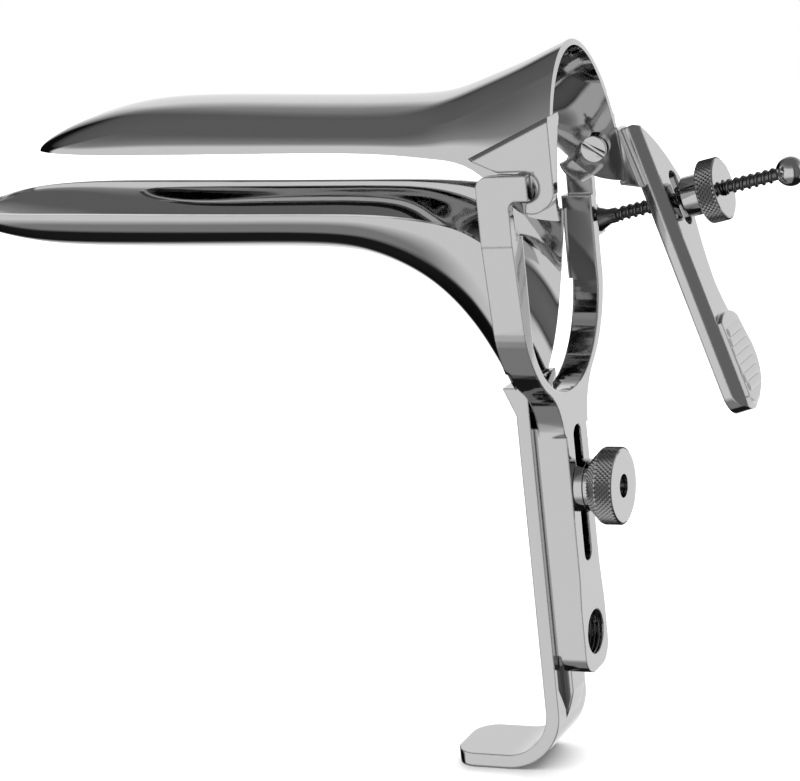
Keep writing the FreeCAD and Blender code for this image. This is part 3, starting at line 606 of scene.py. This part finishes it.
KNURL_ROWS = 7
KNURL_LENGTH = 3.5
KNOB_TEETH = 54
WHEEL_TEETH = 46
grown("lock_knob_rim_knurl", "lock_knob", knurl, knurl_sizes, {
    "Count": KNOB_TEETH, "Rows": KNURL_ROWS, "Start Radius": KNOB_BLANK, "End Radius": KNOB_BLANK,
    "Length": KNURL_LENGTH, "Depth": KNURL_DEPTH},
    knurled, frame_on(lock_foot, lock_axis, RIM_START))
grown("lock_knob_cone_knurl", "lock_knob", knurl, knurl_sizes, {
    "Count": KNOB_TEETH, "Rows": KNURL_ROWS, "Start Radius": HUB_RADIUS, "End Radius": KNOB_BLANK,
    "Length": CONE_LENGTH, "Depth": KNURL_DEPTH},
    knurled, frame_on(lock_foot, lock_axis, CONE_START))
grown("nut_wheel_knurl", "nut_wheel", knurl, knurl_sizes, {
    "Count": WHEEL_TEETH, "Rows": KNURL_ROWS, "Start Radius": WHEEL_BLANK, "End Radius": WHEEL_BLANK,
    "Length": KNURL_LENGTH, "Depth": KNURL_DEPTH},
    knurled, frame_on(rod_foot, rod_axis, WHEEL_START + EDGE_BREAK))

# %% [markdown]
# A screw thread is one ridge that winds along its core: a spiral carries a small hexagon, of which
# half stands out of the core. Both pitches are guesses from the look of the photograph.

# %% Screw threads
ROD_PITCH = 1.6
BORE_PITCH = 0.9
ROD_RIDGE = 0.45
BORE_RIDGE = 0.3
thread, given, thread_sizes = new_tree("screw_thread", ["Radius", "Pitch", "Length", "Ridge"])
spiral = add_node(thread, "GeometryNodeCurveSpiral", inputs={
    "Resolution": 28, "Rotations": maths(thread, "DIVIDE", given["Length"], given["Pitch"]),
    "Start Radius": given["Radius"], "End Radius": given["Radius"], "Height": given["Length"]})
steady = add_node(thread, "GeometryNodeSetCurveNormal", {"mode": "Z_UP"}, {
    "Curve": spiral.outputs[0]})
ridge = add_node(thread, "GeometryNodeCurvePrimitiveCircle", inputs={
    "Resolution": 6, "Radius": given["Ridge"]})
wound = add_node(thread, "GeometryNodeCurveToMesh", inputs={
    "Curve": steady.outputs[0], "Profile Curve": ridge.outputs[0], "Fill Caps": True})
end_tree(thread, wound.outputs[0], given)

grown("adjusting_rod_thread", "adjusting_rod", thread, thread_sizes, {
    "Radius": THREAD_ROOT, "Pitch": ROD_PITCH, "Ridge": ROD_RIDGE,
    "Length": BALL_AT - BALL_RADIUS - THREAD_START - 0.6},
    cut_steel, frame_on(rod_foot, rod_axis, THREAD_START + THREAD_RUN_IN))
accessory = next(m for m in frame["record"]["mounts"] if m["name"] == "accessory_bore")
bore_foot = Vector(accessory["pos_m"])
grown("accessory_bore_thread", "yoke", thread, thread_sizes, {
    "Radius": accessory["dims"]["r_mm"] + 0.08, "Pitch": BORE_PITCH, "Ridge": BORE_RIDGE,
    "Length": 3.6}, cut_steel, frame_on(bore_foot, lock_axis, -1.9))

# %% [markdown]
# The thumb pad is cut with straight grooves that give grip. Each land between two grooves is a low
# rounded bar. They are shorter towards the pad's round ends.

# %% Thumb pad serrations
PAD_OVERHANG = 1.6
serrated, given, serration_sizes = new_tree("serrations", ["Count", "Spacing", "Length", "Height"])
line = add_node(serrated, "GeometryNodeMeshLine", inputs={
    "Count": given["Count"],
    "Offset": add_node(serrated, "ShaderNodeCombineXYZ", inputs={2: given["Spacing"]}).outputs[0]})
index = add_node(serrated, "GeometryNodeInputIndex").outputs["Index"]
middle = maths(serrated, "DIVIDE", maths(serrated, "SUBTRACT", given["Count"], 1.0), 2.0)
off = maths(serrated, "DIVIDE", maths(serrated, "SUBTRACT", index, middle),
            maths(serrated, "ADD", middle, PAD_OVERHANG))
span = maths(serrated, "SQRT", maths(serrated, "SUBTRACT", 1.0, maths(serrated, "MULTIPLY", off, off)))
bar_shape = add_node(serrated, "GeometryNodeMeshCylinder", inputs={
    "Vertices": 16, "Radius": 0.5, "Depth": 1.0})
bar_size = add_node(serrated, "ShaderNodeCombineXYZ", inputs={
    0: given["Height"], 1: given["Spacing"], 2: maths(serrated, "MULTIPLY", given["Length"], span)})
spread = add_node(serrated, "GeometryNodeInstanceOnPoints", inputs={
    "Points": line.outputs[0], "Instance": bar_shape.outputs["Mesh"],
    "Rotation": (math.pi / 2, 0.0, 0.0), "Scale": bar_size.outputs[0]})
end_tree(serrated, spread.outputs[0], given)

LEVER_LEAN = math.radians(17.2)
LEVER_REAR = 10.6
PAD_RISE = 1.0
PAD_SINK = 0.05
PAD_MIDDLE = 28.3
PAD_FOOT = -57.6
lever_place = Matrix.Translation(drawn_from) @ Matrix.Rotation(-LEVER_LEAN, 4, "Y")
pad_place = lever_place @ Matrix.Translation(
    Vector((LEVER_REAR + PAD_RISE - PAD_SINK, PAD_MIDDLE, PAD_FOOT)) * MM)
grown("thumb_pad_serrations", "thumb_lever", serrated, serration_sizes, {
    "Count": 7, "Spacing": 2.0, "Length": 10.0, "Height": 0.8}, polished, pad_place)

# %% [markdown]
# The pivot screw's head shows inside the mouth. Its driver slot is cut with a Boolean modifier.

# %% Slotted pivot screw
SLOT_TURN = math.radians(35)
SLOT_SIZE = (8.0, 1.0, 0.8)
screw = new_object("pivot_screw_finished", merged_copy("pivot_screw"))
head_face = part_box("pivot_screw")[0][1]
slot_mesh = bpy.data.meshes.new("driver_slot")
shape = bmesh.new()
bmesh.ops.create_cube(shape, size=1.0, matrix=Matrix.LocRotScale(
    Vector((hinge.x, head_face, hinge.z)), Matrix.Rotation(SLOT_TURN, 3, "Y"),
    Vector(SLOT_SIZE) * MM))
shape.to_mesh(slot_mesh)
shape.free()
slot_cutter = new_object("driver_slot", slot_mesh)
slotting = screw.modifiers.new("Slot", "BOOLEAN")
slotting.object = slot_cutter
slotting.operation = "DIFFERENCE"
round_edges(screw, 0.12)
finished(screw, "pivot_screw", polished)
bpy.data.objects.remove(slot_cutter)
print("slot cut", len(screw.data.polygons), "faces")

# %% [markdown]
# A pale floor just under the instrument catches a soft shadow. It is hidden from the mirror, and
# it ends where it is still lit to white, so that its far edge doesn't show.

# %% Floor
FLOOR_REACH = 0.9
FLOOR_GAP = 0.2
floor_mesh = bpy.data.meshes.new("Floor")
floor_z = cad_bounds[0][2] - FLOOR_GAP * MM
floor_corners = [(x * FLOOR_REACH, y * FLOOR_REACH, floor_z)
                 for x, y in ((-1, -1), (1, -1), (1, 1), (-1, 1))]
floor_mesh.from_pydata(floor_corners, [], [(0, 1, 2, 3)])
floor = new_object("Floor", floor_mesh)
floor_material = bpy.data.materials.new("pale_floor")
floor_material.use_nodes = True
floor_shader = floor_material.node_tree.nodes["Principled BSDF"]
floor_shader.inputs["Base Color"].default_value = hex_colour("#F4F4F4")
floor_shader.inputs["Roughness"].default_value = 1.0
floor_mesh.materials.append(floor_material)
floor.visible_glossy = False
print("floor at", floor_z)

# %% [markdown]
# The mirror shows the studio alone, which is painted by direction: white screens in front of and
# behind the instrument, a grey ceiling, and dark gaps between the screens, which give the black
# lines along the edges. The camera itself sees white behind the instrument.

# %% Studio
SCREEN_SIDE = (0.42, 0.906, 0.0)
GAP_SIDE = (0.906, -0.42, 0.0)
UPWARDS = (0.0, 0.0, 1.0)
world = bpy.data.worlds.new("Studio")
scene.world = world
world.use_nodes = True
tree = world.node_tree
tree.nodes.clear()
direction = add_node(tree, "ShaderNodeTexCoord").outputs["Generated"]


def grey_ramp(value, stops):
    """A colour ramp of greys over a value from 0 to 1."""
    ramp = add_node(tree, "ShaderNodeValToRGB", inputs={"Fac": value})
    while len(ramp.color_ramp.elements) < len(stops):
        ramp.color_ramp.elements.new(0.5)
    for element, (at, grey) in zip(ramp.color_ramp.elements, stops):
        element.position = at
        element.color = (grey, grey, grey, 1)
    return ramp.outputs["Color"]


flattened = add_node(tree, "ShaderNodeVectorMath", {"operation": "MULTIPLY"}, {
    0: direction, 1: (1.0, 1.0, 0.0)})
level = add_node(tree, "ShaderNodeVectorMath", {"operation": "NORMALIZE"}, {
    0: flattened.outputs[0]}).outputs[0]


def towards_screen(axis, seen=level):
    """How far a direction points along an axis, from 0 for against it to 1 for along it."""
    dot = add_node(tree, "ShaderNodeVectorMath", {"operation": "DOT_PRODUCT"}, {0: seen, 1: axis})
    return add_node(tree, "ShaderNodeMapRange", inputs={
        "Value": dot.outputs["Value"], "From Min": -1.0, "From Max": 1.0}).outputs["Result"]


def mixed(factor, first, second):
    """The first colour where the factor is 0, the second where it is 1."""
    node = add_node(tree, "ShaderNodeMix", {"data_type": "RGBA"}, {0: factor, 6: first, 7: second})
    return node.outputs[2]


screens = grey_ramp(towards_screen(SCREEN_SIDE), [
    (0.0, 1.0), (0.24, 1.0), (0.30, 0.0), (0.70, 0.0), (0.76, 1.0), (1.0, 1.0)])
gaps = grey_ramp(towards_screen(GAP_SIDE), [
    (0.0, 0.005), (0.95, 0.005), (0.97, 0.16), (1.0, 0.2)])
around = mixed(screens, gaps, (0.95, 0.95, 0.95, 1))
height = towards_screen(UPWARDS, direction)
ceiling = grey_ramp(height, [(0.0, 0.0), (0.70, 0.0), (0.79, 0.75), (0.93, 1.0), (1.0, 1.0)])
under_ceiling = mixed(ceiling, around, (0.17, 0.17, 0.17, 1))
ground = grey_ramp(height, [(0.0, 1.0), (0.14, 1.0), (0.26, 0.0), (1.0, 0.0)])
floor_grey = grey_ramp(towards_screen(SCREEN_SIDE), [
    (0.0, 0.3), (0.2, 0.3), (0.34, 0.015), (1.0, 0.015)])
studio_colour = mixed(ground, under_ceiling, floor_grey)
ray = add_node(tree, "ShaderNodeLightPath")
studio = add_node(tree, "ShaderNodeBackground", inputs={"Color": studio_colour, "Strength": 1.0})
white = add_node(tree, "ShaderNodeBackground", inputs={"Color": (1, 1, 1, 1), "Strength": 1.0})
blend = add_node(tree, "ShaderNodeMixShader", inputs={
    0: ray.outputs["Is Camera Ray"], 1: studio.outputs[0], 2: white.outputs[0]})
add_node(tree, "ShaderNodeOutputWorld", inputs={"Surface": blend.outputs[0]})
print("studio", len(tree.nodes), "nodes")

# %% [markdown]
# Two large soft lamps light the floor and give the shadow its soft edge. They too are hidden from
# the mirror, which has the painted screens instead.

# %% Lamps


def softbox(name, place, aim, size, power):
    """A square area lamp that points at a place and isn't seen in the mirror."""
    data = bpy.data.lights.new(name, "AREA")
    data.size = size
    data.energy = power
    lamp = bpy.data.objects.new(name, data)
    scene.collection.objects.link(lamp)
    lamp.location = place
    lamp.rotation_mode = "QUATERNION"
    lamp.rotation_quaternion = (Vector(aim) - Vector(place)).to_track_quat("-Z", "Y")
    lamp.visible_glossy = False


softbox("Overhead", (0.0, 0.2, 2.2), (0, 0.2, 0), 4.0, 110)
softbox("Back", (0.0, 2.2, 1.0), (0, 1.0, 0), 2.5, 60)
